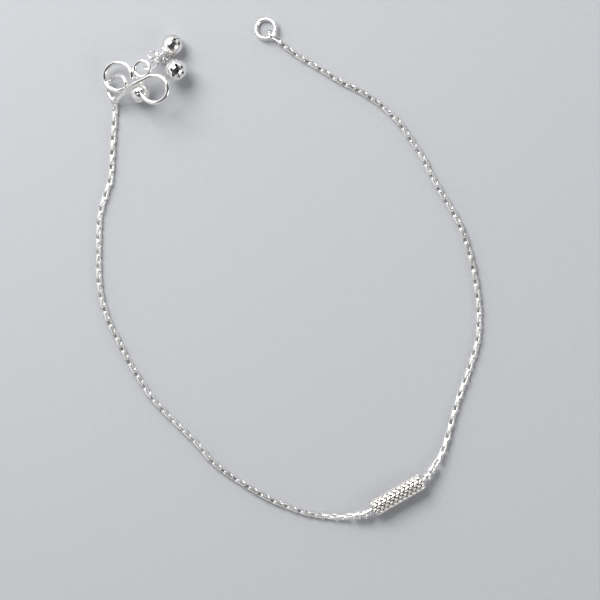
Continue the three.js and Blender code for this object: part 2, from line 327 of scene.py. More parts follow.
class Nodes:
    """The node tree of a material or a world, with short ways to add to it."""

    def __init__(self, owner: bpy.types.Material | bpy.types.World) -> None:
        """Turns the owner's nodes on and keeps their tree."""
        owner.use_nodes = True
        self.tree = owner.node_tree

    def fill(self, node: bpy.types.Node, inputs: dict[str | int, object]) -> None:
        """Sets a node's inputs to values, or links them where a socket is given."""
        for key, value in inputs.items():
            if isinstance(value, Socket):
                self.tree.links.new(value, node.inputs[key])
            else:
                node.inputs[key].default_value = value

    def add(
        self, kind: str, inputs: dict[str | int, object] | None = None, **settings: object
    ) -> bpy.types.Node:
        """A new node.

        Args:
            kind: its type, without the leading ShaderNode.
            inputs: values or sockets for its inputs.
            settings: its own properties, such as operation.

        Returns:
            The node.
        """
        node = self.tree.nodes.new(f"ShaderNode{kind}")
        for name, value in settings.items():
            setattr(node, name, value)
        self.fill(node, inputs or {})
        return node

    def noise(self, vector: Socket, scale: float, detail: float) -> Socket:
        """A noise texture's value on given coordinates."""
        inputs = {"Vector": vector, "Scale": scale, "Detail": detail}
        return self.add("TexNoise", inputs).outputs["Fac"]

    def ranged(self, value: Socket, source: Pair, target: Pair) -> Socket:
        """A value carried from one range to another, held at the ends."""
        ends = dict(zip(("From Min", "From Max", "To Min", "To Max"), (*source, *target)))
        return self.add("MapRange", {"Value": value, **ends}).outputs["Result"]

    def mixed(self, factor: Socket, first: Socket | Colour, second: Colour) -> Socket:
        """A colour mixed from two."""
        start = first if isinstance(first, Socket) else (*first, 1.0)
        inputs = {"Factor": factor, "A": start, "B": (*second, 1.0)}
        return self.add("Mix", inputs, data_type="RGBA").outputs["Result"]

    def total(self, first: Socket, second: Socket) -> Socket:
        """The sum of two values."""
        return self.add("Math", {0: first, 1: second}, operation="ADD").outputs["Value"]

    def bump(self, height: Socket, distance: float, **under: Socket) -> Socket:
        """A normal raised by a height, over another normal where one is given."""
        inputs = {"Strength": 1.0, "Distance": distance, "Height": height, **under}
        return self.add("Bump", inputs).outputs["Normal"]


def in_scene(name: str, data: bpy.types.ID) -> bpy.types.Object:
    """A new object in the scene that holds the given mesh, light or camera."""
    made = bpy.data.objects.new(name, data)
    bpy.context.scene.collection.objects.link(made)
    return made


@dataclass(frozen=True)
class SilverFinish:
    """Polished silver as a node material.

    Attributes:
        roughness, worn: roughness of the polish and of the handled patches.
        hollow: how far a hollow darkens, 0 to 1, as tarnish with painted shade.
        streak: height of the fine polishing lines along the piece, in metres.
        streak_scale, streak_stretch: lines per millimetre across the piece and along it.
        dimple: height of the shallow unevenness of hand work, in metres.
        bright, dull: colours of clean metal and of the tarnish in patches; in the hollows the dull
            colour darkens further as tarnish with painted shade.
        patch_scale, grain_scale: scales of the slow patches and of the grain, per metre.
        tarnish: patch values between which tarnish sets in, and how much of it there is.
        depth: crown values at which a hollow is full and gone, for its colour.
        tarnish_and_painted_shade_share: a full hollow's colour, as a share of the dull colour:
            tarnish with painted shade.
        wear: patch values between which the polish gives way to wear.
        grain: grain values and the roughness that they take off and add.
        depth_rough: crown values for the roughness, and what a full hollow adds.
    """

    name: str
    roughness: float
    worn: float
    hollow: float
    streak: float
    streak_scale: float
    dimple: float
    bright: Colour = (0.95, 0.94, 0.92)
    dull: Colour = (0.78, 0.75, 0.70)
    patch_scale: float = 210.0
    grain_scale: float = 2600.0
    streak_stretch: float = 0.35
    tarnish: tuple[Pair, float] = ((0.42, 0.74), 0.55)
    depth: Pair = (0.12, 0.62)
    tarnish_and_painted_shade_share: float = 0.12
    wear: Pair = (0.35, 0.7)
    grain: tuple[Pair, Pair] = ((0.3, 0.7), (-0.02, 0.035))
    depth_rough: tuple[Pair, float] = ((0.1, 0.6), 0.28)

    def material(self) -> bpy.types.Material:
        """The node material.

        Patches come from a slow noise on Object coordinates; the polishing lines from a noise on
        the piece's own UV map, stretched along it; hollows, darkened as tarnish with painted shade,
        from the crown attribute.

        Returns:
            The material, made once per finish.
        """
        made = bpy.data.materials.get(self.name)
        if made:
            return made
        made = bpy.data.materials.new(self.name)
        nodes = Nodes(made)
        place = nodes.add("TexCoord").outputs
        patches = nodes.noise(place["Object"], self.patch_scale, 3.0)
        grain = nodes.noise(place["Object"], self.grain_scale, 2.0)
        crown = nodes.add("Attribute", attribute_name="crown").outputs["Fac"]
        nodes.fill(nodes.tree.nodes["Principled BSDF"], {
            "Metallic": 1.0,
            "IOR": 1.5,
            "Base Color": self.colour(nodes, patches, crown),
            "Roughness": self.polish(nodes, patches, grain, crown),
            "Normal": self.relief(nodes, patches, place["UV"]),
        })
        return made

    def colour(self, nodes: Nodes, patches: Socket, crown: Socket) -> Socket:
        """Clean silver on the crowns, tarnish in slow patches, and tarnish with painted shade in the
        hollows.
        """
        slow = nodes.ranged(patches, self.tarnish[0], (0.0, self.tarnish[1]))
        tarnished = nodes.mixed(slow, self.bright, self.dull)
        # Painted shade with tarnish: low crown values, the hollows, go towards a near-black share of
        # the dull colour.
        deep = nodes.ranged(crown, self.depth, (self.hollow, 0.0))
        return nodes.mixed(deep, tarnished, tuple(self.tarnish_and_painted_shade_share * part for part in self.dull))

    def polish(self, nodes: Nodes, patches: Socket, grain: Socket, crown: Socket) -> Socket:
        """Roughness: polish to handled wear over the patches, with grain, rougher in hollows."""
        base = nodes.ranged(patches, self.wear, (self.roughness, self.worn))
        fine = nodes.ranged(grain, *self.grain)
        span, most = self.depth_rough
        deep = nodes.ranged(crown, span, (most * self.hollow, 0.0))
        return nodes.total(nodes.total(base, fine), deep)

    def relief(self, nodes: Nodes, patches: Socket, uv: Socket) -> Socket:
        """Two bumps in a row: shallow dimples of hand work, then the polishing lines."""
        scale = (self.streak_scale, self.streak_stretch, 1.0)
        stretched = nodes.add("Mapping", {"Vector": uv, "Scale": scale}).outputs["Vector"]
        streaks = nodes.noise(stretched, 1.0, 2.0)
        return nodes.bump(streaks, self.streak, Normal=nodes.bump(patches, self.dimple))


CHAIN_FINISH = SilverFinish(
    "polished_chain_silver", roughness=0.27, worn=0.36, hollow=0.7, streak=4e-6,
    streak_scale=9.0, dimple=2.5e-5, bright=(0.93, 0.92, 0.90), dull=(0.70, 0.67, 0.62),
)
# The bead's strong hollow darkening is tarnish with painted shade in the stitch gaps and the bore.
BEAD_FINISH = SilverFinish(
    "oxidised_woven_silver_painted_shade", roughness=0.17, worn=0.28, hollow=0.96, streak=2e-6,
    streak_scale=8.0, dimple=1.5e-5, bright=(0.94, 0.92, 0.88), dull=(0.66, 0.61, 0.54),
)
WIRE_FINISH = SilverFinish(
    "drawn_silver_wire", roughness=0.07, worn=0.15, hollow=0.6, streak=1.6e-6,
    streak_scale=10.0, dimple=1.5e-5,
)
CAST_FINISH = SilverFinish(
    "satin_cast_silver", roughness=0.32, worn=0.42, hollow=0.7, streak=1.2e-6,
    streak_scale=8.0, dimple=2e-5,
)
BELL_FINISH = SilverFinish(
    "pressed_bell_silver", roughness=0.08, worn=0.18, hollow=0.8, streak=1.2e-6,
    streak_scale=5.0, dimple=6e-5, dull=(0.72, 0.68, 0.62),
)
# Painted shade: a near-black material for the inside of the bells, standing for the shade in the
# hollow ball.
BELL_INSIDE_PAINTED_SHADE = replace(
    BELL_FINISH, name="bell_inside_painted_shade", roughness=0.42, worn=0.6,
    bright=(0.10, 0.095, 0.09), dull=(0.04, 0.037, 0.034),
)


@dataclass(frozen=True)
class PaleCloth:
    """The plain pale surface the anklet lies on, matt with a faint, even mottle.

    Attributes:
        shine: strength of its mirror reflection.
        mottle: scale of the mottle, per metre, and its darker colour as a share of the colour.
    """

    name: str = "plain_pale_floor"
    colour: Colour = (0.48, 0.49, 0.51)
    roughness: float = 0.85
    shine: float = 0.2
    mottle: Pair = (900.0, 0.93)

    def material(self) -> bpy.types.Material:
        """The node material."""
        made = bpy.data.materials.new(self.name)
        nodes = Nodes(made)
        scale, share = self.mottle
        noise = nodes.noise(nodes.add("TexCoord").outputs["Object"], scale, 2.0)
        nodes.fill(nodes.tree.nodes["Principled BSDF"], {
            "Base Color": nodes.mixed(noise, self.colour, tuple(share * c for c in self.colour)),
            "Roughness": self.roughness,
            "Specular IOR Level": self.shine,
        })
        return made


def make_piece(
    name: str, surface: Surface, finish: SilverFinish, stands_for: str,
    crease: float = SMOOTH,
) -> bpy.types.Object:
    """A mesh object of the anklet.

    Args:
        name: piece name.
        surface: its surface, in millimetres.
        finish: its silver.
        stands_for: the CAD node that it replaces.
        crease: edges sharper than this many degrees are shaded as edges.

    Returns:
        The object, at the origin, riding on the anklet's body.
    """
    mesh = bpy.data.meshes.new(name)
    mesh.from_pydata((surface.points * MM).tolist(), [], surface.faces.tolist())
    layer = mesh.uv_layers.new(name="UVMap")
    layer.data.foreach_set("uv", surface.uv.reshape(-1).astype(np.float32))
    crown = mesh.attributes.new("crown", "FLOAT", "POINT")
    crown.data.foreach_set("value", surface.shade.astype(np.float32))
    work = bmesh.new()
    work.from_mesh(mesh)
    bmesh.ops.remove_doubles(work, verts=work.verts, dist=MERGE)
    bmesh.ops.dissolve_degenerate(work, edges=work.edges, dist=SLIVER)
    work.to_mesh(mesh)
    work.free()
    mesh.polygons.foreach_set("use_smooth", [True] * len(mesh.polygons))
    if crease < SMOOTH:
        mesh.set_sharp_from_angle(angle=math.radians(crease))
    mesh.update()
    piece = in_scene(name, mesh)
    mesh.materials.append(finish.material())
    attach(piece, "root")
    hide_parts(stands_for)
    LOG.info("%s: %d faces", name, len(mesh.polygons))
    return piece


@dataclass
class BoxChain:
    """A run of elongated box chain: flat-strip links, each a quarter turn from the last.

    Attributes:
        node: the CAD node it stands for.
        route: [x, y, rise] points of the centreline over its lying height.
        first_roll: roll of the first link about the run, in degrees.
        seed: seed of the small unevenness of the links.
        settle: distance over which the roll settles to the run's own.
        pitch, height: distance from one link to the next, and a link's size across its hole.
        width, side_thickness, end_thickness: the strip, along the link's sides and at its ends.
        corner, chamfer: radius of the link's corners, and share taken off the strip's edges.
        lying: height of the centreline over the surface.
        roll, drift, drift_length: the run's own roll, and how far and how slowly it wanders.
        uneven_roll, uneven_aim: spread of the links' roll and direction, in degrees.
        section_scale: the section's half size as the material takes it.
        material_step: shift of the material from one link to the next.
    """

    name: str
    node: str
    route: Sequence[Point]
    first_roll: float
    seed: int
    settle: float = 5.0
    pitch: float = 1.58
    height: float = 1.16
    width: float = 0.72
    side_thickness: float = 0.21
    end_thickness: float = 0.46
    corner: float = 0.28
    chamfer: float = 0.30
    lying: float = 0.68
    roll: float = 33.0
    drift: float = 7.0
    drift_length: float = 43.0
    uneven_roll: float = 2.2
    uneven_aim: float = 1.1
    section_scale: float = 0.25
    material_step: Pair = (3.7, 5.1)

    @property
    def length(self) -> float:
        """A link's whole length."""
        return self.pitch + 2 * self.end_thickness

    def link(self) -> Surface:
        """One link, lying along X with its hole through Z.

        The strip's middle line is a rounded rectangle; its section is a rounded rectangle as
        wide as the strip and as thick as the wall there, side or end.

        Returns:
            The link's closed surface.
        """
        half_x = (self.length - self.end_thickness) / 2
        half_y = (self.height - self.side_thickness) / 2
        turn = np.radians([0, 45, 90])
        bend, soft = self.corner, self.chamfer
        quarter = np.stack([np.cos(turn), np.sin(turn)], axis=-1) * bend
        middle = np.array([half_x - bend, half_y - bend]) + quarter
        flip_x = middle[::-1] * [-1, 1]
        line = np.concatenate([middle, flip_x, -middle, -flip_x])
        flipped = quarter[::-1] * [-1, 1]
        facing = np.concatenate([quarter, flipped, -quarter, -flipped]) / bend
        wall = self.side_thickness + (self.end_thickness - self.side_thickness) * facing[:, :1]**2
        section = np.array([
            [1 - soft, -1], [1, -1 + soft], [1, 1 - soft], [1 - soft, 1],
            [-1 + soft, 1], [-1, 1 - soft], [-1, -1 + soft], [-1 + soft, -1],
        ])
        flat = np.zeros((len(line), 1))
        outward, base = np.hstack([facing * wall / 2, flat]), np.hstack([line, flat])
        points = (base[:, None] + section[None, :, :1] * outward[:, None]
                  + section[None, :, 1:] * UP * self.width / 2)
        around = float(np.linalg.norm(np.diff(section, axis=0), axis=1).sum()) * self.section_scale
        return Surface.grid(points, (True, True), (around, 2 * (half_x + half_y) * 2)).outward()

    def build(self) -> None:
        """All the links of the run as one piece.

        Link i sits at the distance L / 2 + i p along the route. Its X axis follows the route and
        it is rolled about it by the run's roll, plus 90 degrees for every other link.
        """
        path = smooth_route(np.asarray(self.route, dtype=float) + [0.0, 0.0, self.lying])
        reach = lengths_of(path)
        count = int(round((reach[-1] - self.length) / self.pitch)) + 1
        where = self.length / 2 + np.linspace(0.0, reach[-1] - self.length, count)
        centre = points_at(path, reach, where)
        along = unit(points_at(path, reach, where + 0.5) - points_at(path, reach, where - 0.5))
        level = unit(np.cross(UP, along))
        upright = np.cross(along, level)
        uneven = np.random.default_rng(self.seed).normal(size=(3, count))
        settled = np.clip(where / self.settle, 0.0, 1.0)
        settled = settled**2 * (3 - 2 * settled)
        steady = self.roll + self.drift * np.sin(2 * np.pi * where / self.drift_length + self.seed)
        roll = np.radians(
            self.first_roll + (steady - self.first_roll) * settled
            + 90.0 * (np.arange(count) % 2) + self.uneven_roll * uneven[0]
        )[:, None]
        across = np.cos(roll) * level + np.sin(roll) * upright
        sway, lean = np.radians(self.uneven_aim * uneven[1:])[:, :, None]
        ahead = unit(along + sway * across + lean * np.cross(along, across))
        across = unit(across - ahead * np.sum(ahead * across, axis=1, keepdims=True))
        axes = np.stack([ahead, across, np.cross(ahead, across)], axis=1)
        one = self.link()
        points = centre[:, None] + np.einsum("pk,nkd->npd", one.points, axes)
        starts = (np.arange(count) * len(one.points))[:, None, None]
        offset = np.arange(count)[:, None, None, None] * np.array(self.material_step)
        surface = Surface(
            points.reshape(-1, 3),
            (one.faces[None] + starts).reshape(-1, 4),
            (one.uv[None] + offset).reshape(-1, 4, 2),
            np.tile(one.shade, count),
        )
        LOG.info("%s: %d links over %.1f mm", self.name, count, reach[-1])
        make_piece(self.name, surface, CHAIN_FINISH, self.node)


@dataclass
class WovenBead:
    """The barrel bead: a tube knitted of wire, with stacked V stitches in columns round it.

    Attributes:
        centre, angle: middle of its axis, and its direction in plan, in degrees from +X.
        dome, dome_radius: length of each domed end and radius at its face.
        rise: length over which the crowns rise, over the dome's.
        columns, stitches: stitch columns round the bead, and stitches along one.
        relief: depth of the stitches.
        fade: distance from each end over which the relief grows, and its share at the end.
        first_column: angle of one column's middle, from the top towards -Y, in degrees.
        slant: how far a leg leans back for each millimetre round the bead.
        legs: place in the half wave of a leg at s = 0, its step to |s| = 1, and its power.
        wire_share: width of one wire over the stitch pitch, where a leg turns and at its middle.
        leg_height: height of the pair where its legs turn, and what it gains at their middle.
        groove: height left in the groove between a stitch's two wires.
        dome_rows, rows, sides: rows of points in a dome and between the domes, points round.
    """

    centre: Point = (23.9, -49.7, 1.9)
    angle: float = 29.9
    length: float = 13.0
    radius: float = 1.9
    bore: float = 0.8
    dome: float = 0.9
    dome_radius: float = 1.15
    rise: float = 1.35
    columns: int = 8
    stitches: float = 11.25
    relief: float = 0.32
    fade: Pair = (0.5, 0.25)
    first_column: float = 24.0
    slant: float = 1.15
    legs: tuple[float, float, float] = (0.10, 0.82, 0.7)
    wire_share: Pair = (0.31, 0.42)
    leg_height: Pair = (0.42, 0.58)
    groove: float = 0.55
    dome_rows: int = 26
    rows: int = 250
    sides: int = 200

    @property
    def axis(self) -> Array:
        """Direction of the bead's axis, from its left end to its right."""
        turn = math.radians(self.angle)
        return np.array([math.cos(turn), math.sin(turn), 0.0])

    def outline(self, x: Array) -> Array:
        """Radius of the crowns at x: full in the middle, a quarter ellipse at each domed end."""
        into = np.clip((self.length / 2 - np.abs(x)) / (self.rise * self.dome), 0.0, 1.0)
        rise = np.sqrt(1.0 - (1.0 - into) ** 2)
        return self.dome_radius + (self.radius - self.dome_radius) * rise

    def stitch(self, angle: Array, x: Array) -> Array:
        """Height of the knitting, 0 in the gaps and 1 on the crowns.

        Across one column the place s runs from -1 to 1. A stitch is a pair of wires side by side
        that lean back from the column's middle, so the stitch number is (x + |s| w) / pitch, w
        being the column's half width times the slant. Each wire is round, the square root of one
        less its offset squared, but the groove between the two is filled half way. The pair is
        slimmer and lower where its legs turn, at s = 0 and |s| = 1, which leaves open corners
        between the stitches.

        Args:
            angle: angle round the bead, in radians.
            x: distance along it, in mm.

        Returns:
            Heights of the same shape.
        """
        half = np.pi / self.columns
        s = (np.mod(angle + half, 2 * half) - half) / half
        pitch = self.length / self.stitches
        part = np.mod((x + np.abs(s) * half * self.radius * self.slant) / pitch, 1.0)
        start, step, power = self.legs
        straight = np.sin(np.pi * np.clip(start + step * np.abs(s), 0.0, 1.0)) ** power
        wire = self.wire_share[0] + (self.wire_share[1] - self.wire_share[0]) * straight
        place = part / wire
        offset = np.where(place < 2.0, np.mod(place, 1.0) * 2 - 1, 1.0)
        crest = np.sqrt(np.clip(1.0 - offset**2, 0.0, 1.0))
        inner = ((place < 1.0) & (offset > 0)) | ((place >= 1.0) & (place < 2.0) & (offset < 0))
        crest = np.where(inner, self.groove + (1 - self.groove) * crest, crest)
        return crest * (self.leg_height[0] + self.leg_height[1] * straight)

    def build(self) -> None:
        """The bead as one closed surface: outside, end faces and bore."""
        half = self.length / 2
        along = np.concatenate([
            -half + self.dome * (1 - np.cos(np.linspace(0, np.pi / 2, self.dome_rows))),
            np.linspace(-half + self.dome, half - self.dome, self.rows)[1:-1],
            half - self.dome * (1 - np.cos(np.linspace(np.pi / 2, 0, self.dome_rows))),
        ])
        angle = round_angles(self.sides)
        a, x = np.meshgrid(angle, along)
        height = self.stitch(a - math.radians(self.first_column), x)
        ends = np.clip((half - np.abs(x)) / self.fade[0], self.fade[1], 1.0)
        radius = self.outline(x) - self.relief * ends * (1.0 - height)
        inner = np.array([[self.bore, half], [self.bore, 0.0], [self.bore, -half]])
        a_in, r_in = np.meshgrid(angle, inner[:, 0])
        x_in = np.repeat(inner[:, 1, None], len(angle), axis=1)
        a, x, radius = (np.concatenate(pair) for pair in ((a, a_in), (x, x_in), (radius, r_in)))
        # Crown values: the stitch height outside, 0 on the bore; the finish darkens low values as
        # tarnish with painted shade, darkest on the bore.
        shade = np.concatenate([height, np.full(a_in.shape, 0.0)])
        points = np.stack([x, -radius * np.sin(a), radius * np.cos(a)], axis=-1)
        around = 2 * np.pi * self.radius
        surface = Surface.grid(points, (True, True), (around, 2 * self.length), shade).outward()
        placed = surface.placed(turn_x_to(self.axis), self.centre)
        make_piece("woven_barrel_bead", placed, BEAD_FINISH, "barrel_bead")

    def end(self, side: int) -> Array:
        """The middle of the bead's left (-1) or right (1) end."""
        return np.asarray(self.centre) + side * self.length / 2 * self.axis


@dataclass
class BeadMount:
    """What holds the bead: a pin through it, a round spacer and a flanged cup at each end.

    Attributes:
        cups, spacers: outer ends of the cups and middles of the spacers, left and right.
        collars: length of each spacer's plain collar, or 0 for none.
        bulge: share of a spacer's radius at its faces, and what it gains in the middle.
        bulge_sweep: half angle of the spacer's half-oval outline, in degrees.
        cup_gap: distance from a cup's neck to its spacer.
        flange_from, flange_to: the flange's two faces, from the sleeve's mouth.
        sides, pin_sides, pin_rows: points round the turned pieces and the pin, rows along it.
    """

    bead: WovenBead
    cups: tuple[Point, Point] = ((14.0, -54.4, 1.6), (31.95, -43.3, 1.6))
    spacers: tuple[Point, Point] = ((16.7, -53.95, 1.85), (30.35, -45.75, 1.85))
    collars: Pair = (0.75, 0.0)
    pin_radius: float = 0.52
    spacer_radius: float = 1.05
    spacer_bore: float = 0.70
    spacer_length: float = 1.0
    bulge: Pair = (0.62, 0.38)
    bulge_sweep: float = 76.0
    collar_radius: float = 0.85
    cup_radius: float = 0.8
    cup_gap: float = 0.45
    flange_radius: float = 1.05
    flange_from: float = 1.2
    flange_to: float = 1.65
    neck_radius: float = 0.72
    sides: int = 48
    pin_sides: int = 16
    pin_rows: int = 90

    def spacer(self, collar: float) -> Surface:
        """A round spacer about X: a half-oval outline between two flat faces, turned.

        Args:
            collar: length of the plain collar at its +X end, or 0 for none.

        Returns:
            The closed surface.
        """
        half, most = self.spacer_length / 2, math.radians(self.bulge_sweep)
        sweep = np.linspace(-1.0, 1.0, 17) * most
        outer = np.stack([self.spacer_radius * (self.bulge[0] + self.bulge[1] * np.cos(sweep)),
                          half * np.sin(sweep) / math.sin(most)], axis=-1)
        end, rim = half + collar, self.collar_radius
        edge = np.array([[rim - 0.06, half], [rim, half + 0.08], [rim, end - 0.10],
                         [rim - 0.03, end - 0.03], [rim - 0.10, end]])
        inner = np.array([[self.spacer_bore, end], [self.spacer_bore, -half]])
        return turned(np.concatenate([outer, *([edge] if collar > 0 else []), inner]), self.sides)

    def cup(self, length: float) -> Surface:
        """A cup about X: a crimped sleeve open to the chain, a rounded flange and a neck.

        The outline is a list of (radius, x): the sleeve's floor, its lip, the waist of the crimp
        and the step up to the flange; then the flange's half round; then the neck.

        Args:
            length: from the sleeve's mouth to the end of the neck.

        Returns:
            The closed surface.
        """
        r, f, neck = self.cup_radius, self.flange_radius, self.neck_radius
        near, far = self.flange_from, self.flange_to
        lip = far - near
        bend = np.linspace(-np.pi / 2, np.pi / 2, 9)
        flange = np.stack([f - lip / 3 + lip / 3 * np.cos(bend),
                           near + lip / 2 + lip / 2 * np.sin(bend)], axis=-1)
        sleeve = np.array([
            [AXIS_RADIUS, 0.5], [r - 0.12, 0.5], [r - 0.10, 0.06], [r - 0.06, 0.0],
            [r - 0.02, 0.04], [r, 0.12], [r, 0.24], [r - 0.04, 0.30], [r - 0.08, 0.36],
            [r - 0.09, 0.46], [r - 0.07, 0.54], [r - 0.03, 0.62], [r - 0.01, 0.74],
            [r - 0.01, near - 0.06], [r - 0.04, near],
        ])
        back = np.array([[neck + 0.03, far], [neck, far + 0.05], [neck, length - 0.05],
                         [neck - 0.05, length], [AXIS_RADIUS, length]])
        return turned(np.concatenate([sleeve, flange, back]), self.sides)

    def build(self) -> None:
        """The two spacers, and the pin soldered to its two cups."""
        parts, ends = [], []
        for side, cup, middle, collar in zip((-1, 1), self.cups, self.spacers, self.collars):
            outer, centre = np.asarray(cup, dtype=float), np.asarray(middle, dtype=float)
            length = float(np.linalg.norm(centre - outer)) - self.spacer_length / 2 - self.cup_gap
            inward = unit(centre - outer)
            parts.append(self.cup(length).placed(turn_x_to(inward), outer))
            ends.append((outer + inward * length / 2, centre))
            through = unit(self.bead.end(side) - outer - inward * length)
            name = "spacer_left" if side < 0 else "spacer_right"
            spacer = self.spacer(collar).placed(turn_x_to(through), centre)
            make_piece(f"round_{name}", spacer, CAST_FINISH, name, CREASE)
        knots = np.stack([ends[0][0], ends[0][1], self.bead.end(-1), self.bead.centre,
                          self.bead.end(1), ends[1][1], ends[1][0]])
        path, radii = rounded_ends(even_path(smooth_route(knots), self.pin_rows), self.pin_radius)
        parts.append(tube(path, radii, UP, self.pin_sides, closed=False))
        make_piece("pin_with_cups", Surface.joined(parts), CAST_FINISH, "bead_pin",
                   CREASE)


@dataclass
class WireLoop:
    """A closed link or ring of round wire.

    Attributes:
        path, normal: its closed centreline and the normal of its plane.
        wire: radius of the wire.
        seam: place of the soldered seam, as a share of the way round.
        joint: how far the solder swells the wire.
        swell, nick: reach of the swelling and of the nick in it, over the wire's radius.
        nick_depth: depth of the nick, over the height of the swelling.
        wave: height of the slow unevenness, over the wire's radius, and waves round the loop.
    """

    path: Array
    normal: Point
    wire: float
    seam: float = 0.3
    sides: int = 24
    joint: float = 0.035
    swell: float = 1.1
    nick: float = 0.22
    nick_depth: float = 1.3
    wave: Pair = (0.006, 5)

    def surface(self) -> Surface:
        """Wire with a soldered seam: the radius swells by a narrow bell curve, then nicks."""
        share = np.linspace(0.0, 1.0, len(self.path), endpoint=False)
        away = np.abs(np.mod(share - self.seam + 0.5, 1.0) - 0.5) * lengths_of(self.path)[-1]
        swell = self.joint * np.exp(-((away / (self.swell * self.wire)) ** 2))
        nick = self.nick_depth * self.joint * np.exp(-((away / (self.nick * self.wire)) ** 2))
        wave = self.wave[0] * np.sin(2 * np.pi * self.wave[1] * share)
        radius = self.wire * 0.99 * (1.0 + wave) + swell - nick
        side = np.asarray(self.normal, dtype=float)
        return tube(self.path, radius, side, self.sides, closed=True)

    def build(self, name: str, node: str) -> None:
        """The loop's piece, under its name and the CAD node it stands for."""
        make_piece(name, self.surface(), WIRE_FINISH, node)


@dataclass(frozen=True)
class Link:
    """A round-ended link: half circles about two points, joined by straight sides.

    Attributes:
        first, second: centres of its ends.
        radii: radius of the centreline about each.
        normal: normal of its plane, made square to the line between the ends.
        wire, count, seam: radius of the wire, points round the loop, place of the seam.
    """

    first: Point
    second: Point
    radii: Pair
    normal: Point
    wire: float
    count: int = 100
    seam: float = 0.3

    def path(self) -> Array:
        """The closed centreline, as (count, 3) evenly spaced points."""
        first, second = np.asarray(self.first, dtype=float), np.asarray(self.second, dtype=float)
        along = unit(second - first)
        plane = np.asarray(self.normal, dtype=float)
        across = np.cross(unit(plane - along * (plane @ along)), along)
        angle = np.linspace(-np.pi / 2, np.pi / 2, 24)[:, None]
        far = second + self.radii[1] * (np.cos(angle) * along + np.sin(angle) * across)
        near = first - self.radii[0] * (np.cos(angle) * along + np.sin(angle) * across)
        return even_path(np.concatenate([far, near]), self.count, closed=True)

    def loop(self) -> WireLoop:
        """The link as a loop of wire."""
        return WireLoop(self.path(), self.normal, self.wire, self.seam)


@dataclass
class RingEnd:
    """The plain closing ring, propped a little on the side of its link, and that link.

    Attributes:
        prop: how far the ring is tilted up over the link, in degrees.
        seam: place of its soldered seam.
    """

    centre: Point = (-5.1, 52.7, 0.93)
    radius: float = 2.15
    wire: float = 0.46
    prop: float = 12.5
    seam: float = 0.62
    link: Link = Link((-3.6, 51.28, 1.42), (-2.0, 49.95, 0.82), (1.18, 0.55), (0.6, 0.62, 0.42),
                      0.27, 110)

    def ring(self) -> WireLoop:
        """The closing ring: a circle tilted so that its side over the link is up."""
        middle = np.asarray(self.centre)
        toward = unit((np.asarray(self.link.first) - middle) * [1, 1, 0])
        tilt = math.radians(self.prop)
        rising = toward * math.cos(tilt) + UP * math.sin(tilt)
        level = np.cross(UP, toward)
        angle = round_angles(144)[:, None]
        path = middle + self.radius * (np.cos(angle) * rising + np.sin(angle) * level)
        return WireLoop(path, np.cross(rising, level), self.wire, self.seam)

    def build(self) -> None:
        """The ring's and the link's pieces."""
        self.ring().build("closing_ring", "end_ring")
        self.link.loop().build("closing_ring_link", "ring_link")


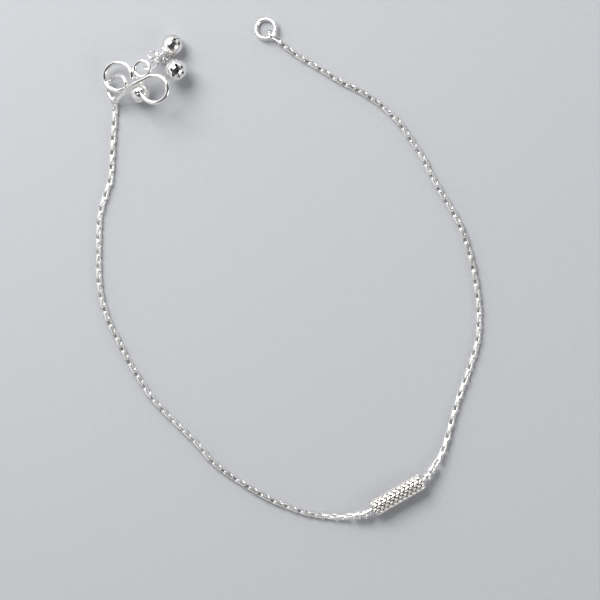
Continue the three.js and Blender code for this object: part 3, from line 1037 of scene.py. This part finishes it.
@dataclass
class SHook:
    """The S-shaped hook: a left and a right curl, with a small ring soldered to its middle.

    Attributes:
        left_arc, right_arc: start and end angles of the two curls in plan, in degrees.
        tip_x, tip_z: x of the right curl's tip, and height of the hook's plane there.
        slope: rise of the hook's plane along +X.
        eye: the hidden eye under the hook's middle.
        crook: level direction of the hook's wire where the ring touches it.
        solder: half sizes of the solder there, along the wire, across it and through it.
        solder_drop: how far its middle lies from the ring's edge, towards the hook's wire.
        ripple: how far its outline ripples, as a share.
    """

    wire: float = 0.5
    left_centre: Pair = (-37.5, 42.1)
    left_radius: float = 3.06
    left_arc: Pair = (-4.0, 294.0)
    right_centre: Pair = (-29.4, 39.2)
    right_radius: float = 2.95
    right_arc: Pair = (114.0, 183.0)
    tip_x: float = -32.35
    tip_z: float = 5.6
    slope: float = 0.4
    ring_centre: Pair = (-32.1, 43.67)
    ring_radius: float = 1.7
    ring_wire: float = 0.42
    ring_seam: float = 0.81
    eye: Link = Link((-33.35, 40.8, 4.75), (-33.45, 41.66, 3.74), (0.5, 0.85), (0.3, -0.63, -0.7),
                     0.25, 90)
    eye_sides: int = 14
    crook: Pair = (0.909, 0.417)
    solder: tuple[float, float, float] = (1.05, 0.42, 0.40)
    solder_drop: float = 0.27
    ripple: float = 0.05

    @property
    def normal(self) -> Array:
        """Normal of the hook's leaning plane."""
        return unit(np.array([-self.slope, 0.0, 1.0]))

    def height(self, x: Array) -> Array:
        """Height of the hook's plane at x."""
        return self.tip_z + self.slope * (x - self.tip_x)

    def arc(self, centre: Pair, radius: float, span: Pair, curl: Curl) -> Array:
        """Points of an arc, round in plan and lifted into the hook's plane.

        Args:
            centre: its centre in plan.
            radius: its radius in plan.
            span: start and end angles, in degrees, end past start in the way of the curl.
            curl: the way round.

        Returns:
            (90, 3) points.
        """
        start, end = np.radians(span[0]), np.radians(span[1])
        sweep = np.mod(curl.value * (end - start), 2 * np.pi) or 2 * np.pi
        angle = start + curl.value * np.linspace(0.0, sweep, 90)
        x = centre[0] + radius * np.cos(angle)
        return np.stack([x, centre[1] + radius * np.sin(angle), self.height(x)], axis=-1)

    def build(self) -> None:
        """The hook, its ring, the hidden eye and the solder as one soldered piece."""
        left = self.arc(self.left_centre, self.left_radius, self.left_arc, Curl.ANTICLOCKWISE)
        right = self.arc(self.right_centre, self.right_radius, self.right_arc, Curl.CLOCKWISE)
        path = even_path(np.concatenate([left, right]), 330)
        hook = tube(*rounded_ends(path, self.wire), self.normal, 28, closed=False)
        circle = self.arc(self.ring_centre, self.ring_radius, (0.0, 360.0), Curl.ANTICLOCKWISE)
        circle = even_path(circle[:-1], 120, closed=True)
        ring = WireLoop(circle, self.normal, self.ring_wire, self.ring_seam).surface()
        eye = tube(self.eye.path(), self.eye.wire, np.asarray(self.eye.normal), self.eye_sides,
                   closed=True)
        whole = Surface.joined([hook, ring, eye, self.fillet()])
        make_piece("s_shaped_hook", whole, WIRE_FINISH, "s_hook")

    def fillet(self) -> Surface:
        """Solder in the crook between hook and ring: an oval blob with a slow ripple.

        Returns:
            A surface: direction (cos v cos u, cos v sin u, sin v) times three half sizes.
        """
        along_x, along_y = self.crook
        bar = unit(np.array([along_x, along_y, along_x * self.slope]))
        across = np.cross(self.normal, bar)
        to_edge = (self.ring_radius - 0.02) * np.array([along_y, -along_x])
        touch = np.asarray(self.ring_centre) + to_edge
        middle = np.array([*touch, self.height(touch[0])]) - self.solder_drop * across
        u = round_angles(40)[None, :]
        v = np.linspace(-np.pi / 2, np.pi / 2, 21)[:, None]
        swell = 1.0 + self.ripple * np.sin(3 * u) * np.cos(v)
        a, b, c = self.solder
        x, y, z = (a * np.cos(v) * np.cos(u) * swell, b * np.cos(v) * np.sin(u) * swell,
                   c * np.sin(v) + 0 * u)
        points = middle + x[..., None] * bar + y[..., None] * across + z[..., None] * self.normal
        return Surface.grid(points, wrap=(False, True), span=(4.0, 2.0)).outward()


@dataclass
class HookEnd:
    """The pear-shaped ring that stands over the hook's left curl, and the eye link below it.

    Attributes:
        plan: points of the ring's centreline in plan.
        plane, slopes: a point of the leaning plane it lies in, and its rise along +X and +Y.
    """

    plan: Sequence[Point] = (
        (-38.3, 36.7), (-39.3, 37.8), (-39.8, 39.3), (-39.5, 40.7), (-38.6, 41.8),
        (-37.4, 42.3), (-36.3, 41.7), (-35.65, 40.5), (-35.8, 39.0), (-36.85, 37.7),
    )
    plane: Point = (-39.7, 40.0, 1.05)
    slopes: Pair = (1.35, 0.3)
    wire: float = 0.38
    seam: float = 0.04
    eye: Link = Link((-38.3, 36.82, 1.97), (-38.25, 36.0, 1.2), (1.05, 0.7), (0.62, 0.1, 0.78),
                     0.24)

    def build(self) -> None:
        """The pear-shaped ring's and the eye link's pieces."""
        flat, (slope_x, slope_y) = np.asarray(self.plan), self.slopes
        lift = (self.plane[2] + slope_x * (flat[:, 0] - self.plane[0])
                + slope_y * (flat[:, 1] - self.plane[1]))
        knots = np.column_stack([flat, lift])
        path = even_path(smooth_route(knots, closed=True), 150, closed=True)
        normal = unit(np.array([-slope_x, -slope_y, 1.0]))
        WireLoop(path, normal, self.wire, self.seam).build("pear_shaped_ring", "hook_link")
        self.eye.loop().build("chain_eye_link", "eye_link")


@dataclass
class Bell:
    """A round bell pressed from sheet: six petals meet at the foot, a wire loop stands on top.

    Attributes:
        name, node: piece name, and the CAD node it stands for.
        hangs_on: centre of the loop's far end, on the wire that carries the bell.
        hang_radius, loop_normal: radius of that end, and normal of the loop's plane.
        arms, slit: slits from the foot, each ending in a round hole, and their width.
        hole, hole_at: radius of a hole and its angle from the foot, in degrees.
        seat: distance from the ball's centre to the centre of the loop's near end.
        inset: how far the skin lies inside the radius.
        seam, seam_width: height of the raised seam, and its width in degrees.
        seam_band: angles from the foot between which the rows lie close, in degrees.
        rows: rows to the holes, round them, up to the seam, over it and on to the top.
        across: points across a petal.
        collar: radius and height of the soldered collar's rounded top, and its depth below.
        rim: width of the rounding of the cut edges.
    """

    name: str
    node: str
    centre: Point
    hangs_on: Point
    hang_radius: float
    loop_normal: Point
    radius: float = 2.4
    wall: float = 0.3
    arms: int = 6
    slit: float = 0.15
    hole: float = 0.33
    hole_at: float = 35.0
    seat: float = 2.3
    loop_radius: float = 0.58
    loop_wire: float = 0.24
    loop_seam: float = 0.86
    inset: float = 0.02
    seam: float = 0.035
    seam_width: float = 1.6
    seam_band: Pair = (84.0, 96.0)
    rows: tuple[int, int, int, int, int] = (10, 15, 14, 13, 22)
    across: int = 21
    collar: tuple[float, float, float] = (0.78, 0.20, 0.25)
    rim: float = 0.035

    @property
    def toward(self) -> Array:
        """Direction from the ball to the wire that carries it."""
        return unit(np.asarray(self.hangs_on) - np.asarray(self.centre))

    def edge(self, down: Array) -> Array:
        """Half the width cut away along an arm, as an angle round the bell's axis.

        It is the greater of the slit's half width and the hole's half chord, over the radius of
        that circle of the ball; past the hole it is nothing.

        Args:
            down: angle from the foot, in radians.

        Returns:
            Angles of the same shape.
        """
        along = self.radius * (down - math.radians(self.hole_at))
        chord = np.sqrt(np.clip(self.hole**2 - along**2, 0.0, None))
        width = np.maximum(chord, np.where(along < 0, self.slit / 2, 0.0))
        ratio = width / (self.radius * np.sin(np.maximum(down, 1e-6)))
        return np.arcsin(np.clip(ratio, 0.0, math.sin(np.pi / self.arms)))

    def shell(self) -> Surface:
        """The ball about Z with its foot down: six petals up to the holes, then whole.

        A point at angle d from the foot and u across a petal is R (sin d cos p, sin d sin p,
        -cos d), p running from one cut edge to the next. R has a fine raised seam at d = 90.

        Returns:
            The open outer skin.
        """
        hole_at, reach = math.radians(self.hole_at), self.hole / self.radius
        tip = math.asin(self.slit / self.radius / (2 * math.sin(np.pi / self.arms)))
        low, high = self.seam_band
        slit, hole, rise, seam, top = self.rows
        down = np.concatenate([
            np.linspace(tip, hole_at - reach, slit)[:-1],
            hole_at - reach * np.cos(np.linspace(0.0, np.pi, hole)),
            np.linspace(hole_at + reach, np.radians(low), rise)[1:-1],
            np.radians(np.linspace(low, high, seam)),
            np.linspace(np.radians(high), np.pi, top)[1:],
        ])
        u = np.linspace(0.0, 1.0, self.across)
        petal = np.arange(self.arms)[:, None, None] * 2 * np.pi / self.arms
        cut = self.edge(down)[None, :, None]
        spread = petal + cut + u[None, None, :] * (2 * np.pi / self.arms - 2 * cut)
        down = down[None, :, None] + 0 * spread
        lip = self.seam * np.exp(-(((np.degrees(down) - 90) / self.seam_width) ** 2))
        size = self.radius - self.inset + lip
        points = np.stack([
            size * np.sin(down) * np.cos(spread), size * np.sin(down) * np.sin(spread),
            -size * np.cos(down),
        ], axis=-1)
        span = (2 * np.pi * self.radius / self.arms, np.pi * self.radius)
        return Surface.joined([Surface.grid(part, (False, False), span) for part in points]).outward()

    def loop(self) -> Surface:
        """The wire loop on top and the small soldered collar at its foot."""
        centre, (width, rise, below) = np.asarray(self.centre), self.collar
        foot = centre + self.seat * self.toward
        wire = Link(foot, self.hangs_on, (self.loop_radius, self.hang_radius), self.loop_normal,
                    self.loop_wire, 110, self.loop_seam).loop().surface()
        bend = np.linspace(0.0, np.pi / 2, 8)
        rim = np.stack([AXIS_RADIUS + width * np.cos(bend), rise * np.sin(bend)], axis=-1)
        base = np.array([[AXIS_RADIUS, -below], [width - 0.04, -below]])
        collar = turned(np.concatenate([base, rim]), 40)
        top = centre + (self.radius - 0.10) * self.toward
        return Surface.joined([wire, collar.placed(turn_x_to(self.toward), top)])

    def build(self) -> None:
        """The bell, its shell thickened inwards with its rims softened, and then its loop."""
        shell = self.shell().placed(rotation_from_z(self.toward), self.centre)
        bell = make_piece(self.name, shell, BELL_FINISH, self.node)
        # The inner skin of the thickened sheet takes the near-black painted shade material.
        bell.data.materials.append(BELL_INSIDE_PAINTED_SHADE.material())
        sheet = bell.modifiers.new("sheet", "SOLIDIFY")
        sheet.thickness = self.wall * MM
        sheet.offset = -1.0
        sheet.material_offset = 1
        rims = bell.modifiers.new("rims", "BEVEL")
        rims.width = self.rim * MM
        rims.segments = 2
        rims.limit_method = "ANGLE"
        rims.angle_limit = math.radians(CREASE)
        make_piece(f"{self.name}_loop", self.loop(), WIRE_FINISH, self.node, CREASE)


@dataclass
class BellCluster:
    """The three bells and the small links that gather them.

    Attributes:
        long_link: from the soldered ring to the gathering ring.
        middle_link: from the gathering ring to the shackle.
        shackle: the flat link that two bells hang on.
    """

    gather_centre: Point = (-29.77, 46.77, 3.11)
    gather_normal: Point = (0.27, 0.71, 0.68)
    gather_radius: float = 1.2
    gather_wire: float = 0.245
    gather_seam: float = 0.7
    long_link: Link = Link((-30.53, 43.95, 6.38), (-29.32, 45.19, 3.41), (1.13, 0.75),
                           (0.16, 1.07, -0.2), 0.245, 120)
    middle_link: Link = Link((-28.65, 46.6, 2.89), (-27.35, 45.72, 0.99), (0.81, 0.85),
                             (-0.3, 0.96, 0.0), 0.2)
    shackle: Link = Link((-26.97, 46.23, 0.77), (-25.82, 44.84, 0.91), (0.69, 0.93),
                         (0.33, 0.1, 0.95), 0.22)
    bells: list[Bell] = field(default_factory=lambda: [
        Bell("bell_far", "bell_1", (-25.7, 49.04, 2.43), (-27.92, 47.08, 1.06), 0.69,
             (-0.69, 0.72, 0.27)),
        Bell("bell_near", "bell_2", (-24.79, 43.47, 4.14), (-25.46, 44.0, 1.08), 0.82,
             (1.04, 0.38, -0.13)),
        Bell("bell_under_hook", "bell_3", (-32.77, 38.69, 2.42), (-33.53, 42.23, 3.11), 0.85,
             (0.91, 0.38, 0.11)),
    ])

    def gathering_ring(self) -> WireLoop:
        """The gathering ring: a circle about its normal."""
        normal = unit(np.asarray(self.gather_normal))
        angle = round_angles(96)
        circle = np.stack([np.cos(angle), np.sin(angle), 0 * angle], axis=-1)
        turn = rotation_from_z(normal)
        ring = np.asarray(self.gather_centre) + self.gather_radius * circle @ turn.T
        return WireLoop(ring, normal, self.gather_wire, self.gather_seam)

    def build(self) -> None:
        """All links and bells."""
        self.long_link.loop().build("bell_long_link", "bell_link")
        self.gathering_ring().build("gathering_ring", "gather_ring")
        self.middle_link.loop().build("bell_middle_link", "middle_link")
        self.shackle.loop().build("bell_shackle", "shackle")
        for bell in self.bells:
            bell.build()


@dataclass
class SoftPanel:
    """One soft light: a square panel aimed at the anklet.

    Attributes:
        azimuth, elevation: where it stands, in degrees from +X and above the surface.
        size, distance: side of the panel and distance from the anklet, in metres.
        power: in watts.
    """

    name: str
    azimuth: float
    elevation: float
    size: float
    power: float
    distance: float = 0.6

    def build(self) -> None:
        """Adds the light."""
        lamp = bpy.data.lights.new(self.name, "AREA")
        lamp.shape = "SQUARE"
        lamp.size = self.size
        lamp.energy = self.power
        holder = in_scene(self.name, lamp)
        a, e = math.radians(self.azimuth), math.radians(self.elevation)
        away = np.array([math.cos(e) * math.cos(a), math.cos(e) * math.sin(a), math.sin(e)])
        holder.location = away * self.distance
        holder.rotation_mode = "QUATERNION"
        holder.rotation_quaternion = Vector(away).to_track_quat("Z", "Y")


@dataclass
class Studio:
    """Pale floor, soft light and a camera that looks straight down.

    Attributes:
        look_at, frame_width: the point under the camera and the width of its view.
        camera_height, clip, floor_size: in metres.
        walls: (height of a direction, brightness there) of the room, from the floor up.
        level: brightness of the walls square to the key light.
        lean: how much brighter the room is on the side of the key light.
        blue: how much stronger the room's light is in blue, as a factor.
        panels: the soft lights, the key first.
    """

    look_at: Pair = (2.42, -6.93)
    frame_width: float = 132.0
    camera_height: float = 1.1
    sensor: float = 36.0
    clip: Pair = (0.01, 20.0)
    floor_size: float = 3.0
    walls: tuple[Pair, ...] = (
        (0.0, 0.70), (0.12, 0.98), (0.50, 0.98), (0.68, 0.14), (0.95, 0.07),
    )
    level: float = 0.84
    lean: float = 0.36
    blue: float = 1.03
    panels: list[SoftPanel] = field(default_factory=lambda: [
        SoftPanel("key_upper_left", 130.0, 46.0, 0.34, 4.2),
        SoftPanel("fill_right", -25.0, 40.0, 0.30, 0.8),
    ])

    def build(self) -> None:
        """Floor, lights, room and camera, with colours shown as they are worked out."""
        half = self.floor_size / 2
        mesh = bpy.data.meshes.new("floor")
        corners = [(-half, -half, 0.0), (half, -half, 0.0), (half, half, 0.0), (-half, half, 0.0)]
        mesh.from_pydata(corners, [], [(0, 1, 2, 3)])
        mesh.materials.append(PaleCloth().material())
        floor = in_scene("floor", mesh)
        for panel in self.panels:
            panel.build()
        self.room()
        self.camera()
        bpy.context.scene.view_settings.view_transform = "Standard"

    def room(self) -> None:
        """A soft room: bright walls all round, brighter towards the key, and a dark ceiling.

        The brightness of a direction d is walls(d.z) times (level + lean (d . key)), key being
        the level direction of the key light.
        """
        world = bpy.data.worlds.new("soft_room")
        bpy.context.scene.world = world
        nodes = Nodes(world)
        direction = nodes.add("TexCoord").outputs["Generated"]
        rise = nodes.add("SeparateXYZ", {"Vector": direction}).outputs["Z"]
        ramp = nodes.add("ValToRGB", {"Fac": rise})
        for position, _ in self.walls[1:-1]:
            ramp.color_ramp.elements.new(position)
        for element, (position, shade) in zip(ramp.color_ramp.elements, self.walls):
            element.position = position
            element.color = (shade, shade, shade * self.blue, 1.0)
        turn = math.radians(self.panels[0].azimuth)
        key = (math.cos(turn), math.sin(turn), 0.0)
        toward = nodes.add("VectorMath", {0: direction, 1: key}, operation="DOT_PRODUCT")
        side = nodes.add("Math", {0: toward.outputs["Value"], 1: self.lean, 2: self.level},
                         operation="MULTIPLY_ADD")
        nodes.fill(nodes.tree.nodes["Background"],
                   {"Color": ramp.outputs["Color"], "Strength": side.outputs["Value"]})

    def camera(self) -> None:
        """A long lens over the anklet, looking straight down with +Y up the picture."""
        lens = bpy.data.cameras.new("over_the_anklet")
        lens.sensor_width = self.sensor
        lens.lens = self.sensor * self.camera_height / (self.frame_width * MM)
        lens.clip_start, lens.clip_end = self.clip
        holder = in_scene("over_the_anklet", lens)
        holder.location = (self.look_at[0] * MM, self.look_at[1] * MM, self.camera_height)
        bpy.context.scene.camera = holder


HOOK_RUN: Sequence[Point] = (
    (-38.2, 36.25, 0.1), (-38.2, 34.8, 0), (-38.5, 30.7, 0), (-38.8, 25.6, 0), (-39.0, 22.1, 0),
    (-39.3, 19.3, 0), (-40.0, 17.1, 0), (-41.3, 12.9, 0), (-41.7, 10.2, 0), (-41.85, 6.7, 0),
    (-41.9, 1.3, 0), (-41.7, -3.2, 0), (-41.2, -6.5, 0), (-39.5, -11.9, 0), (-37.6, -15.7, 0),
    (-35.4, -20.1, 0), (-32.7, -24.5, 0), (-30.6, -27.8, 0), (-26.2, -32.6, 0),
    (-21.8, -36.9, 0), (-19.6, -39.2, 0), (-17.4, -41.8, 0), (-15.2, -43.8, 0),
    (-10.8, -46.8, 0), (-4.2, -50.7, 0), (0.2, -52.5, 0), (4.6, -53.9, 0.01),
    (8.8, -54.5, 0.1), (11.3, -54.6, 0.45), (13.5, -54.45, 0.90), (14.4, -54.33, 0.96),
)
RING_RUN: Sequence[Point] = (
    (-2.2, 50.0, 0.1), (-1.1, 49.0, 0), (2.4, 46.5, 0), (6.8, 43.9, 0), (11.2, 41.2, 0),
    (15.6, 39.0, 0), (20.0, 36.1, 0), (22.2, 34.1, 0), (24.0, 32.3, 0), (26.8, 28.3, 0),
    (29.6, 23.9, 0), (31.8, 19.5, 0), (34.4, 15.1, 0), (37.0, 10.7, 0), (38.8, 6.3, 0),
    (40.1, 1.9, 0), (41.0, -2.5, 0), (41.6, -6.9, 0), (41.8, -11.3, 0), (41.5, -15.7, 0),
    (40.3, -20.1, 0), (38.8, -24.5, 0), (37.2, -28.9, 0), (35.9, -33.3, 0.01),
    (34.7, -37.7, 0.12), (33.8, -40.2, 0.4), (32.55, -42.55, 0.87), (31.75, -43.6, 0.96),
)


def main() -> None:
    """Builds the anklet in order, then the stage."""
    logging.basicConfig(level=logging.INFO, format="%(name)s %(message)s")
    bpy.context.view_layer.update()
    BoxChain("chain_run_hook_side", "chain_hook_side", HOOK_RUN, first_roll=48.0, seed=3).build()
    BoxChain("chain_run_ring_side", "chain_ring_side", RING_RUN, first_roll=20.0, seed=8).build()
    bead = WovenBead()
    bead.build()
    for assembly in (BeadMount(bead), RingEnd(), SHook(), HookEnd(), BellCluster(), Studio()):
        assembly.build()


if __name__ == "__main__":
    main()
